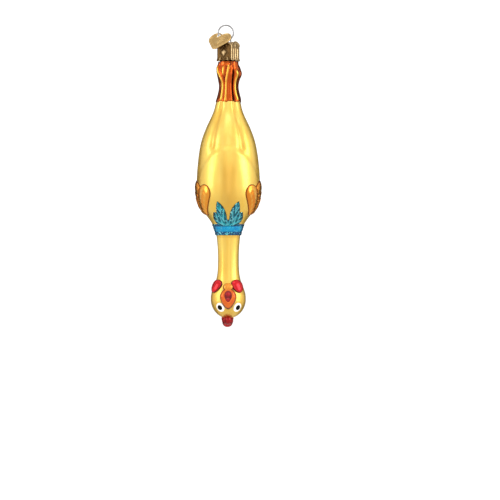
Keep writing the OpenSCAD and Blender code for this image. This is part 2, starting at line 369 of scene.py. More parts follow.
def add_piece(name, points, faces, node, look, shade=None, body="glass"):
    """A closed mesh in place of a node. shade is how dark each point is coloured: painted lines,
    and in places painted shade and painted highlights.
    """
    mesh = closed_mesh(name, points, faces)
    if shade is not None:
        layer = mesh.attributes.new("shade", "FLOAT", "POINT")
        layer.data.foreach_set("value", unit(shade).astype(np.float32))
    mesh.shade_smooth()
    mesh.materials.append(look)
    piece = new_object(name, mesh)
    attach(piece, body)
    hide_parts(node)
    return piece


def lobe(edge, rise, turn, h0, lay=seen_from, tilt=0.0, rings=26, spokes=128, sink=0.35, lift=0.0):
    """A closed lobe on the skin: its points, faces and each point's place in it.

    edge(angle) is the outline's radius, and rise(share, x, y) the thickness at a share of the
    way out from the middle. lift raises the skin that it lies on.
    """
    share = np.linspace(0, 1, rings + 1)[1:] ** 0.8
    angle = circle(spokes)
    share, angle = np.meshgrid(share, angle, indexing="ij")
    reach = share * edge(angle)
    x, y = reach * np.cos(angle), reach * np.sin(angle)
    x, y, share = (np.append(v.ravel(), 0.0) for v in (x, y, share))
    across = x * math.cos(tilt) - y * math.sin(tilt)
    up = x * math.sin(tilt) + y * math.cos(tilt)
    theta, h = lay(across, up, turn, h0)
    top = on_skin(theta, h, lift + rise(share, x, y))
    under = on_skin(theta, h, lift - sink)
    count = rings * spokes
    keep = np.r_[(rings - 1) * spokes:count, (rings // 2) * spokes:(rings // 2 + 1) * spokes]
    points = np.vstack([top, under[keep], under[-1:]])
    rim = count + 1
    faces = grid(rings, spokes) + fan(count, 0, spokes) + bridge(count - spokes, rim, spokes)
    faces += grid(2, spokes, rim) + fan(rim + 2 * spokes, rim + spokes, spokes)
    below = len(points) - count - 1
    place_in = [np.append(v, np.repeat(v[-1], below)) for v in (share, x, y)]
    return points, faces, place_in


def outline(inside, angle, centre, longest):
    """Distance from a point in a shape to its edge in each direction, a little rounded."""
    reach = how_far(
        lambda r: inside(centre[0] + r * np.cos(angle), centre[1] + r * np.sin(angle)),
        angle.shape, longest)
    return smoothed(np.tile(reach, 3), 3)[len(reach):2 * len(reach)]


def joined(*meshes):
    """Several (points, faces, shade) as one."""
    points, faces, shades, start = [], [], [], 0
    for some_points, some_faces, shade in meshes:
        points.append(some_points)
        faces += [tuple(i + start for i in f) for f in some_faces]
        shades.append(shade)
        start += len(some_points)
    return np.vstack(points), faces, np.concatenate(shades)


def oval(length, width):
    """Edge of a pointed oval that stands along y."""
    radius = (length ** 2 + width ** 2) / (4 * width)
    offset = radius - width / 2
    return lambda a: np.sqrt(radius ** 2 - (offset * np.sin(a)) ** 2) - offset * np.abs(np.cos(a))


def ellipse(width, tall, droop=0.0):
    """Edge of an ellipse, narrower at its foot by droop."""
    def edge(a):
        wide = width / 2 * (1 + droop * np.sin(a))
        return 1 / np.sqrt((np.cos(a) / wide) ** 2 + (np.sin(a) * 2 / tall) ** 2)
    return edge


def cushion(thick, power):
    return lambda share, x, y: thick * dome(share, power)


# ---- Materials ----

def srgb(*levels):
    """A linear colour from screen levels, 0 to 255."""
    linear = [((v / 255 + 0.055) / 1.055) ** 2.4 if v > 10 else v / 255 / 12.92 for v in levels]
    return (*linear, 1.0)


class Look:
    """A procedural material, built up node by node round one Principled shader."""

    def __init__(self, name, **settings):
        self.material = bpy.data.materials.new(name)
        self.material.use_nodes = True
        self.tree = self.material.node_tree
        self.shader = self.tree.nodes["Principled BSDF"]
        for socket, value in settings.items():
            self.shader.inputs[socket.replace("_", " ")].default_value = value
        self.where = self.node("ShaderNodeTexCoord").outputs["Object"]

    def node(self, kind, sockets=None, **settings):
        """A new node with its settings, and its sockets linked or set."""
        made = self.tree.nodes.new(kind)
        for key, value in settings.items():
            setattr(made, key, value)
        for name, value in (sockets or {}).items():
            if isinstance(value, bpy.types.NodeSocket):
                self.tree.links.new(value, made.inputs[name])
            elif isinstance(value, tuple) and len(value) == 3:
                made.inputs[name].default_value = srgb(*value)
            else:
                made.inputs[name].default_value = value
        return made

    def stretched(self, *scale):
        """Object coordinates, stretched for streaks."""
        sockets = {"Vector": self.where, "Scale": list(scale)}
        return self.node("ShaderNodeMapping", sockets).outputs["Vector"]

    def noise(self, scale, detail=2.0, where=None, rough=0.5):
        sockets = {"Vector": where or self.where, "Scale": scale, "Detail": detail,
                   "Roughness": rough}
        return self.node("ShaderNodeTexNoise", sockets).outputs["Fac"]

    def math(self, operation, a, b=0.0, clamp=False):
        return self.node("ShaderNodeMath", {0: a, 1: b}, operation=operation,
                         use_clamp=clamp).outputs[0]

    def fit(self, value, from_low, from_high, to_low=0.0, to_high=1.0, smooth=False):
        sockets = {"Value": value, "From Min": from_low, "From Max": from_high, "To Min": to_low,
                   "To Max": to_high}
        kind = "SMOOTHSTEP" if smooth else "LINEAR"
        return self.node("ShaderNodeMapRange", sockets, interpolation_type=kind).outputs["Result"]

    def mix(self, share, a, b):
        """A mix of colours, each a socket or screen levels."""
        sockets = {"Factor": share, 6: a, 7: b}
        return self.node("ShaderNodeMix", sockets, data_type="RGBA").outputs[2]

    def axis(self, name):
        return self.node("ShaderNodeSeparateXYZ", {"Vector": self.where}).outputs[name]

    def shade(self):
        return self.node("ShaderNodeAttribute", attribute_name="shade").outputs["Fac"]

    def colour(self, value):
        self.tree.links.new(value, self.shader.inputs["Base Color"])

    def rough(self, value):
        self.tree.links.new(value, self.shader.inputs["Roughness"])

    def grained(self, scale, least, most):
        """Roughness that wanders between two values."""
        self.rough(self.fit(self.noise(scale), 0.3, 0.7, least, most))

    def bump(self, value, strength, distance):
        sockets = {"Height": value, "Strength": strength, "Distance": distance}
        made = self.node("ShaderNodeBump", sockets)
        self.tree.links.new(made.outputs["Normal"], self.shader.inputs["Normal"])


def pearl_gold():
    """Pearly gold lacquer on silvered glass: a deeper gold on the head, painted shade from the
    shade attribute, and painted shade in the gap between the legs.
    """
    look = Look("pearl_gold_lacquer", Metallic=0.85, Coat_Weight=0.35, Coat_Roughness=0.10,
                Coat_IOR=1.5)
    streak = look.noise(260, 3, look.stretched(1, 1, 0.12))
    cloud = look.noise(70, 3)
    # shade carries painted shade (down the belly, at the flanks, in the folds, beside the collar)
    # and the head's deeper gold
    deep = look.fit(look.shade(), 0.0, 1.0)
    base = look.mix(look.fit(streak, 0.35, 0.7), (254, 212, 96), (255, 224, 116))
    base = look.mix(look.fit(cloud, 0.45, 0.75, 0.0, 0.5), base, (252, 198, 78))
    base = look.mix(look.math("MULTIPLY", deep, 0.9), base, (216, 160, 60))
    # Painted shade: the glass seen in the gap between the two leg coats is dark brown
    painted_gap_shade = look.fit(look.axis("Z"), ORIGIN.z + (HIP + 0.4) * MM, ORIGIN.z + (HIP + 0.8) * MM)
    base = look.mix(painted_gap_shade, base, (96, 34, 8))
    look.colour(base)
    look.grained(420, 0.34, 0.42)
    look.bump(look.noise(900), 0.03, 0.0002)
    return look.material


def copper(name, painted_crest_highlight, light, deep, edge, rough):
    """Clear lacquer over silvered glass. shade is 0 on a thin yellow crest of painted highlight, 1
    in a line or in painted shade.
    """
    look = Look(name, Metallic=0.95, Coat_Weight=0.3, Coat_Roughness=0.05, Coat_IOR=1.5)
    flow = look.noise(160, 2, look.stretched(1, 1, 0.4))
    base = look.mix(look.fit(flow, 0.35, 0.68), light, deep)
    # Painted highlight: the crest colour where shade is low
    base = look.mix(look.fit(look.shade(), 0.08, 0.45, smooth=True), painted_crest_highlight, base)
    base = look.mix(look.fit(look.shade(), 0.55, 0.95, smooth=True), base, edge)
    look.colour(base)
    look.grained(500, rough, rough + 0.08)
    look.bump(look.noise(700), 0.02, 0.0002)
    return look.material


def lacquer(name, light, deep, edge, metal=0.55, rough=0.16):
    """Opaque glossy paint, a little uneven, darker in its lines."""
    look = Look(name, Metallic=metal, Coat_Weight=0.3, Coat_Roughness=0.04, Coat_IOR=1.5)
    base = look.mix(look.fit(look.noise(380, 3), 0.35, 0.7), light, deep)
    base = look.mix(look.fit(look.shade(), 0.1, 0.9, smooth=True), base, edge)
    look.colour(base)
    look.grained(700, rough, rough + 0.1)
    look.bump(look.noise(800), 0.05, 0.0002)
    return look.material


def glitter(name, light, middle_colour, deep, fleck_and_highlight):
    """Blue lacquer strewn with fine glitter. shade says how thick the glitter lies; on the
    feathers it also gives painted highlights on the barbs and painted shade between them.
    """
    look = Look(name, Metallic=0.75, Coat_Weight=0.5, Coat_Roughness=0.08, Coat_IOR=1.5)
    cells = look.node("ShaderNodeTexVoronoi", {"Vector": look.where, "Scale": 1900}).outputs
    tone = look.node("ShaderNodeSeparateColor", {"Color": cells["Color"]}).outputs
    thick = look.fit(look.shade(), 0.0, 1.0, 0.15, 1.0)
    base = look.mix(look.fit(look.noise(330, 3), 0.35, 0.65), middle_colour, light)
    # Painted shade: darker towards the sides
    far = look.math("ABSOLUTE", look.math("SUBTRACT", look.axis("X"), ORIGIN.x))
    base = look.mix(look.fit(far, 0.0050, 0.0076, 0.0, 0.85, smooth=True), base, deep)
    patchy = look.math("ADD", look.shade(), look.fit(tone[0], 0.0, 1.0, -0.2, 0.2))
    ground = look.mix(look.fit(patchy, 0.35, 1.0), base, deep)
    spark = look.math("MULTIPLY", look.fit(tone[1], 0.84, 0.90), thick, clamp=True)
    # Painted highlight: pale streaks where shade is lowest, along the feathers' barbs
    ground = look.mix(look.fit(look.shade(), 0.05, 0.0, 0.0, 0.5), ground, fleck_and_highlight)
    look.colour(look.mix(spark, ground, fleck_and_highlight))
    look.rough(look.fit(tone[2], 0, 1, 0.12, 0.5))
    look.bump(look.math("MULTIPLY", tone[0], thick), 0.5, 0.0002)
    return look.material


def enamel(name, colour, second, rough, gloss):
    """Glossy enamel with a faint unevenness."""
    look = Look(name, Coat_Weight=gloss, Coat_Roughness=0.03, Coat_IOR=1.5,
                Specular_IOR_Level=0.4 * gloss)
    look.colour(look.mix(look.fit(look.noise(600), 0.35, 0.7), colour, second))
    look.grained(900, rough, rough + 0.08)
    look.bump(look.noise(500, 1), 0.04, 0.0002)
    return look.material


def antique_brass(name, high_colour, low_colour, dark, rough):
    """Thin pressed brass: bright on its ridges, tarnished in its hollows."""
    look = Look(name, Metallic=1.0)
    worn = look.noise(900, 4, rough=0.65)
    base = look.mix(look.fit(worn, 0.35, 0.65), high_colour, low_colour)
    base = look.mix(look.fit(look.shade(), 0.15, 0.85, smooth=True), base, dark)
    look.colour(base)
    look.rough(look.fit(worn, 0.3, 0.7, rough, rough + 0.15))
    look.bump(look.noise(2500, 3), 0.12, 0.0001)
    return look.material


def spring_steel():
    """Drawn wire, bright, with fine lines along it and a few dull spots."""
    look = Look("spring_steel", Metallic=1.0, Anisotropic=0.3)
    lines = look.noise(5000, 2, look.stretched(1, 1, 0.1))
    spots = look.noise(800)
    look.colour(look.mix(look.fit(spots, 0.45, 0.7), (176, 178, 184), (124, 126, 132)))
    look.rough(look.fit(lines, 0.3, 0.7, 0.18, 0.34))
    look.bump(lines, 0.06, 0.00005)
    return look.material


BODY_GLASS = pearl_gold()
# Copper legs: the first colour is a painted highlight down the tendons, the fourth is for lines
# and painted shade
LEG_COPPER = copper("copper_lacquer", (255, 196, 76), (230, 106, 24), (204, 78, 14),
                    (104, 40, 8), 0.14)
# Amber wings: the first colour is a painted highlight on the feathers, the fourth is for outlines
# and painted shade
WING_COPPER = copper("amber_lacquer", (255, 200, 92), (252, 170, 60), (240, 144, 42),
                     (146, 78, 20), 0.22)
RED = lacquer("red_lacquer", (220, 22, 36), (190, 8, 24), (92, 2, 10), 0.6)
BEAK_LINE = (112, 50, 10)
ORANGE = lacquer("orange_lacquer", (230, 114, 32), (218, 92, 30), BEAK_LINE, 0.6, 0.22)
JAW_GOLD = lacquer("jaw_lacquer", (238, 160, 56), (228, 138, 44), BEAK_LINE, 0.6, 0.22)
# The last colour is for painted shade in the mouth's hollow
MOUTH_RED = lacquer("mouth_lacquer", (198, 40, 44), (170, 24, 34), (110, 14, 22))
# The last colour is painted shade in the comb's creases
COMB_RED = lacquer("comb_lacquer", (190, 14, 26), (140, 6, 16), (78, 0, 8), 0.7, 0.12)
# The third colour is also painted shade at the sides; the last is the glitter and the painted
# highlight on the barbs
COLLAR_BLUE = glitter("blue_glitter", (0, 172, 226), (0, 140, 208), (0, 66, 112), (110, 214, 226))
FEATHER_TEAL = glitter("teal_glitter", (0, 170, 188), (0, 130, 162), (0, 42, 56), (140, 232, 240))
EYE_WHITE = enamel("white_enamel", (252, 251, 246), (240, 238, 230), 0.12, 0.8)
PUPIL_BLACK = enamel("black_enamel", (6, 6, 6), (12, 12, 12), 0.08, 0.12)
# The darkest colour is for the hollows, the lozenge sides, and painted shade inside the cap
CAP_BRASS = antique_brass("cap_brass", (214, 188, 144), (192, 160, 112), (92, 68, 38), 0.26)
TAG_BRASS = antique_brass("tag_brass", (240, 210, 150), (220, 178, 110), (118, 78, 34), 0.22)
STEEL = spring_steel()


# ---- Glass figure ----

def glass_figure():
    """The blown glass: moulded skin, open neck in the cap, plain inside."""
    columns = 216
    theta = circle(columns)[None, :]
    under = HEAD - (HEAD - CROWN) * np.cos(np.linspace(0.05, math.pi / 2, 26)[:-1])
    outer_h = np.concatenate([under, np.linspace(HEAD, SEAT, 318)])[:, None]
    outer = on_skin(theta, outer_h).reshape(-1, 3)
    pike = float(glass_radii([PIKE_TOP - 3.0])[0])
    bore, edge = pike - GLASS_WALL, 0.15
    neck_rings = [(pike, SEAT + 0.5), (pike, PIKE_TOP - edge), (pike - edge, PIKE_TOP),
                  (bore + edge, PIKE_TOP), (bore, PIKE_TOP - edge), (bore, SEAT)]
    inner_h = np.concatenate([np.linspace(SEAT - 1.0, HEAD, 90),
                              HEAD - (HEAD - CROWN - GLASS_WALL)
                              * np.sin(np.linspace(0, math.pi / 2 - 0.06, 14)[1:])])
    rings = neck_rings + [(max(float(profile(h)) - 1.4 * GLASS_WALL, 0.35), h) for h in inner_h]
    inner = [[[r * math.sin(t), -r * math.cos(t), h] for t in theta[0]] for r, h in rings]
    poles = [[0, 0, CROWN], [0, 0, CROWN + GLASS_WALL + 0.1]]
    points = np.vstack([outer, np.reshape(inner, (-1, 3)), poles])
    faces = barrel(len(outer_h) + len(rings), columns)
    x, h, at = points[:, 0], points[:, 2], angle_of(points)
    front = ease(np.cos(at), 0, 0.5)
    s = (h - SHOULDER) / (HIP - SHOULDER)
    # Painted shade: darker down the middle of the belly and at the flanks
    shade = 0.60 * bell(x, 4.6) * window(s, 0.06, 0.50, 0.12) * front
    shade += 0.26 * ease(np.abs(np.sin(at)), 0.76, 1.0)
    # A deeper gold on the head
    shade += 0.35 * window(h, CROWN - 3, HEAD + 8, 4)
    # Painted shade in the body's folds and beside the collar's lower rim
    shade += unit(-relief(at, h)) * 0.9 * (h > SHOULDER) * (h < HIP)
    shade += 0.3 * window(h, COLLAR - 1.2, COLLAR, 0.3)
    add_piece("glass_figure", points, faces, "glass_shell", BODY_GLASS, shade)


def leg(name, start, end):
    """Lacquer on one leg and foot, from one angle to another, with a wavy lower edge."""
    columns, rows = 150, 130
    angle = np.radians(np.linspace(start, end, columns))[None, :]
    share = np.linspace(0, 1, rows)[:, None]
    wave = 0.22 * np.sin(angle * 7) + 0.12 * np.sin(angle * 17 + 1)
    h = HIP + 0.25 + wave + share * (SEAT + 0.05 - HIP - wave)
    gap = np.minimum(angle - angle[0, 0], angle[0, -1] - angle)
    side = np.minimum(gap / 0.10, 1)
    foot = np.minimum(share / 0.02, 1)
    thick = COAT * dome(1 - side, 2) * dome(1 - foot, 2)
    top = on_skin(angle, h, thick).reshape(-1, 3)
    under = on_skin(angle, h, -0.25).reshape(-1, 3)
    points = np.vstack([top, under])
    count = rows * columns
    faces = grid(rows, columns, 0, False) + grid(rows, columns, count, False)
    number = np.arange(count).reshape(rows, columns)
    edge = np.concatenate([number[0, :-1], number[:-1, -1], number[-1, :0:-1], number[:0:-1, 0]])
    edge = edge.tolist()
    faces += [(a, b, b + count, a + count) for a, b in zip(edge, edge[1:] + edge[:1])]
    q = (h - HIP) / (SEAT - HIP)
    # Painted highlight: a thin yellow line down each tendon
    painted_crest_highlight = sum(painted_highlight * bell(turned(angle, line(q)), width) * window(q, first, last, 0.04)
                for line, _, _, painted_highlight, width, first, last in STRANDS)
    shade = 0.5 - 0.5 * unit(painted_crest_highlight)
    # Painted shade in the grooves and at the sides
    shade = shade + unit(-leg_relief(angle, h) * 0.7)
    shade = shade + 0.22 * ease(np.abs(np.sin(angle)), 0.86, 1.0) * (1 - bell(q - 0.71, 0.1))
    # A dark line at the wavy lower edge, and painted shade at the top under the cap
    shade = shade + 0.3 * bell(share, 0.015) + 0.25 * ease(share, 0.92, 1.0)
    shade = shade.ravel()
    add_piece(name, points, faces, name.replace("_skin", ""),
              LEG_COPPER, np.concatenate([shade, shade]))


# ---- Wings, collar and feathers ----

def capsule(x, y, start, end, radius):
    """How far inside a rounded bar each point lies, 1 on its line and 0 at its edge."""
    ax, ay = start
    bx, by = end
    share = unit(((x - ax) * (bx - ax) + (y - ay) * (by - ay))
                    / ((bx - ax) ** 2 + (by - ay) ** 2))
    apart = np.hypot(x - ax - share * (bx - ax), y - ay - share * (by - ay))
    return 1 - apart / (radius * (1 - 0.55 * share ** 2))


# Each feather: its root and tip, with x growing to the front, and its half width at the root
WING_THICK = 0.85
WING_FEATHERS = (
    ((-5.6, 2.6), (-6.7, -4.4), 2.0),
    ((-4.0, 2.6), (-4.7, -6.3), 2.2),
    ((-2.2, 2.6), (-2.4, -7.8), 2.3),
    ((-0.2, 2.6), (0.0, -8.8), 2.5),
    ((-5.4, 0.2), (0.6, -0.8), 2.5),
    ((-4.8, 3.2), (1.4, 3.0), 3.2),
    ((4.4, 3.2), (3.0, -7.2), 4.1),
)


def wing(name, side):
    """A folded wing: four long feathers, two rows over them and a broad front feather."""
    def feathers(x, y):
        x = -side * x
        near, beside = np.full(x.shape, -0.4), np.zeros(x.shape)
        for start, end, radius in WING_FEATHERS:
            inside = capsule(x, y, start, end, radius)
            run, drop = end[0] - start[0], end[1] - start[1]
            off = ((y - start[1]) * run - (x - start[0]) * drop) / math.hypot(run, drop) / radius
            near, beside = np.where(inside > 0, inside, near), np.where(inside > 0, off, beside)
        return near, beside

    def rise(share, x, y):
        near, beside = feathers(x, y)
        plain = WING_THICK * dome(share, 5)
        swell = 0.45 * np.sqrt(unit(near)) - 0.12
        swell += 0.03 * np.sin(2.8 * (y + 2.2 * np.abs(beside))) * ease(near, 0.1, 0.4)
        return plain + swell * unit(1 - share ** 8)

    spoke = circle(240)
    reach = outline(lambda x, y: feathers(x, y)[0] > 0, spoke, (0, 0), 12.0)
    points, faces, (share, x, y) = lobe(
        lambda a: np.interp(a, spoke, reach, period=TURN), rise, side * math.radians(67),
        height(middle(name).z), wrapped, side * math.radians(20), rings=64, spokes=240)
    near, beside = feathers(x, y)
    hatch = 0.5 + 0.5 * np.sin(2.8 * (y + 2.2 * np.abs(beside)))
    # Painted highlights along each feather
    painted_highlight = (bell(beside + 0.30, 0.22) + 0.6 * bell(beside - 0.38, 0.14)) * (0.75 + 0.25 * hatch)
    flank = np.abs(angle_of(points))
    shade = 0.42 - 0.34 * painted_highlight * ease(near, 0.1, 0.35)
    shade += 0.04 * (1 - hatch) + 0.5 * bell(near, 0.09) + 0.5 * ease(share, 0.93, 0.98)
    # Painted shade on the outer side of the wing
    shade += 0.16 * window(flank, 1.12, 2.0, 0.18)
    add_piece(name + "_relief", points, faces, name, WING_COPPER, shade)


def collar():
    """Glitter collar: a beaded lower rim, a smooth raised band and a thin upper bead."""
    columns = 320
    theta = circle(columns)[None, :]
    length = SHOULDER - COLLAR
    share = np.linspace(0, 1, 60)[:, None]
    grain = 0.06 * np.sin(theta * 61 + 9 * share) * np.sin(theta * 43 - 31 * share)
    thick = (0.42 * dome((share - 0.15) / 0.15, 2) * (share < 0.3)
             + 0.40 * unit(1 - ((share - 0.55) / 0.30) ** 2) ** 0.6
             + 0.28 * dome((share - 0.91) / 0.09, 2))
    glitter_here = 1 - 0.8 * window(share, 0.34, 0.80, 0.05)
    top = on_skin(theta, COLLAR + share * length, thick + 0.05 + grain * glitter_here)
    under = on_skin(theta, COLLAR + np.array([[1.0], [0.0]]) * length, -0.4)
    points = np.vstack([top.reshape(-1, 3), under.reshape(-1, 3)])
    rows = len(share) + 2
    faces = grid(rows, columns) + bridge((rows - 1) * columns, 0, columns)
    shade = np.concatenate([np.repeat(glitter_here.ravel(), columns), np.ones(2 * columns)])
    add_piece("collar_relief", points, faces, "collar_band", COLLAR_BLUE, shade)


# Each feather of a tuft: how far aside and up its middle stands, its length, width and lean
FEATHERS = (
    (3.2, 5.2, 12.4, 4.3, 20),
    (4.3, 2.3, 9.0, 4.4, 40),
    (1.5, 1.2, 5.4, 3.2, 30),
)


def feathers(name, side):
    """A tuft of glittered feathers over the breast, each with a spine and barbs."""
    def barbs(x, y):
        return np.sin(1.5 * y - 4.4 * np.abs(x))

    def rise(share, x, y):
        spine = 0.20 * bell(x, 0.35) * (1 - share ** 4)
        return (0.50 + spine + 0.14 * barbs(x, y)) * dome(share, 4)

    parts = []
    for order, (x0, up, length, width, lean) in enumerate(FEATHERS):
        points, faces, (share, x, y) = lobe(
            oval(length, width), rise, 0.0, SHOULDER + up, lambda s, t, turn, h0, x0=x0:
            seen_from(s + side * x0, t, turn, h0),
            -side * math.radians(lean), rings=40, spokes=160, lift=0.06 * (2 - order))
        # Painted highlights on the barbs' ridges and the spine, painted shade in the hollows
        # between barbs; the edge is a dark outline
        shade = 0.50 - 0.55 * barbs(x, y) - 0.3 * bell(x, 0.3)
        parts.append((points, faces, np.maximum(shade, ease(share, 0.8, 0.95))))
    points, faces, shade = joined(*parts)
    add_piece(name + "_relief", points, faces, name, FEATHER_TEAL, shade)


# ---- Head ----

def wattle(name, turn, tilt, width):
    """A plump red lobe beside the beak."""
    def rise(share, x, y):
        return 1.35 * dome(share, 2.6) + 0.12 * bell(x - 0.6, 0.8) * (1 - share)

    points, faces, (share, x, y) = lobe(ellipse(width, 6.6, 0.12), rise, math.radians(turn),
                                        height(middle(name).z), tilt=math.radians(tilt))
    add_piece(name + "_relief", points, faces, name, RED, ease(share, 0.78, 1.0))


BEAK_H = height((low("upper_beak").z + high("lower_beak").z) / 2) + 1.0
MOUTH_H = BEAK_H + 0.2


def beak_edge(a):
    tall = np.where(np.sin(a) > 0, 4.6, 6.3)
    return 1 / ((np.abs(np.cos(a)) / 4.0) ** 1.6 + (np.abs(np.sin(a)) / tall) ** 1.6) ** (1 / 1.6)


def beak_rise(share, x, y):
    """Domed, with a ridge down to the tip and a hollow where the mouth is."""
    body = 2.7 * unit(1 - share ** 2.0) ** 0.62
    hollow = 1.5 * bell(np.hypot(x / 1.4, (y - 0.2) / 2.2), 1.0)
    return body - hollow + 0.25 * bell(x, 0.7) * ease(-y, 2.2, 3.4) * (1 - share)


def beak():
    """The open beak: a broad orange upper half, a small arched lower half and the mouth."""
    points, faces, (share, x, y) = lobe(beak_edge, beak_rise, 0.0, BEAK_H, rings=44, spokes=160)
    shade = ease(share, 0.70, 0.90) + 0.30 * bell(share - 0.55, 0.12) * (y > 0)
    add_piece("upper_beak_relief", points, faces, "upper_beak", ORANGE, shade)

    def jaw(share, x, y):
        return 2.5 * dome(share, 2.4) - 0.5 * bell(np.hypot(x, y + 1.4), 1.2)

    points, faces, (share, x, y) = lobe(ellipse(4.9, 4.4), jaw, 0.0, BEAK_H + 4.2, rings=30)
    add_piece("lower_beak_relief", points, faces, "lower_beak",
              JAW_GOLD, ease(share, 0.62, 0.86))

    def bumps(x, y):
        return 0.45 * bell(np.hypot(x, y - 0.9), 0.75) + 0.35 * bell(np.hypot(x, y + 1.5), 0.6)

    def lining(share, x, y):
        whole = np.hypot(x, y) / beak_edge(np.arctan2(y, x))
        return beak_rise(whole, x, y) + bumps(x, y) + 0.14 * dome(share, 6)

    points, faces, (share, x, y) = lobe(ellipse(3.0, 4.8, 0.15), lining, 0.0, MOUTH_H - 0.2)
    # Painted shade in the mouth's hollow, lighter on the two bumps
    add_piece("mouth_relief", points, faces, "mouth", MOUTH_RED,
              0.8 - 2.4 * bumps(x, y))


def eye(name, pupil_name):
    """A white enamel drop with a black drop on it."""
    centre = middle(name)
    turn = math.atan2(centre.x - ORIGIN.x, -centre.y) + EYE_SHIFT
    points, faces, _ = lobe(ellipse(4.3, 4.4), cushion(0.34, 3), turn, EYE_H)
    add_piece(name + "_white", points, faces, name, EYE_WHITE)
    points, faces, _ = lobe(ellipse(2.4, 2.4), cushion(0.26, 2.4), turn, EYE_H, sink=0.2,
                            lift=0.34, spokes=96)
    add_piece(pupil_name + "_drop", points, faces, pupil_name, PUPIL_BLACK)


COMB_SHIFT = 0.4


def comb():
    """Rounded teeth in a row from front to back, blown as one lump under the crown."""
    size = (high("comb").x - low("comb").x) / MM / 2
    balls = size * np.array([
        (0, 0, 1, 1), (0, -1.3, 1.4, 0.85), (0, 1.3, 1.4, 0.85), (-0.55, -0.9, 1.25, 0.5),
        (0.6, -0.9, 1.2, 0.5), (0, 0, 2, 0.9), (-0.4, 0, 1.7, 0.72), (0.4, 0, 1.7, 0.72)])
    rows, columns = 70, 128
    tip, around = np.meshgrid(np.linspace(0.02, math.pi - 0.02, rows),
                              circle(columns), indexing="ij")
    aim = xyz(np.sin(tip) * np.cos(around), np.sin(tip) * np.sin(around), -np.cos(tip))
    centre = np.array([0.0, 0.0, 1.3 * size])

    def field(points):
        total = 0
        for *spot, radius in balls:
            apart = np.linalg.norm(points - spot, axis=-1)
            total = total + np.exp(-7.0 * (apart / radius - 1))
        return total

    reach = how_far(lambda r: field(centre + aim * r[..., None]) > 1, tip.shape, 5 * size)
    reach = reach - 0.14 * size * bell(np.abs(np.sin(2 * around + 0.4)), 0.16) * np.sin(tip) ** 2
    points = (centre + aim * reach[..., None]).reshape(-1, 3)
    points[:, 2] = np.maximum(points[:, 2], 0.02)
    ends = [centre + [0, 0, -float(reach[0].mean())], centre + [0, 0, float(reach[-1].mean())]]
    points = np.vstack([points, ends]) - [COMB_SHIFT, 0, 0]
    # Painted shade in the creases between the teeth
    painted_crease_shade = bell(np.abs(np.sin(2 * around + 0.4)), 0.3) * np.sin(tip) ** 2
    shade = np.append(painted_crease_shade.ravel() * 0.6, [0, 0])
    add_piece("comb_lobes", points, barrel(rows, columns), "comb", COMB_RED, shade)


# ---- Cap, wire and tag ----

CAP_TURN = math.radians(31)
CORNER_SHARE = 1.34
SQUARENESS = 9.0
ARCH = 2.0
CAP_WALL = 0.34


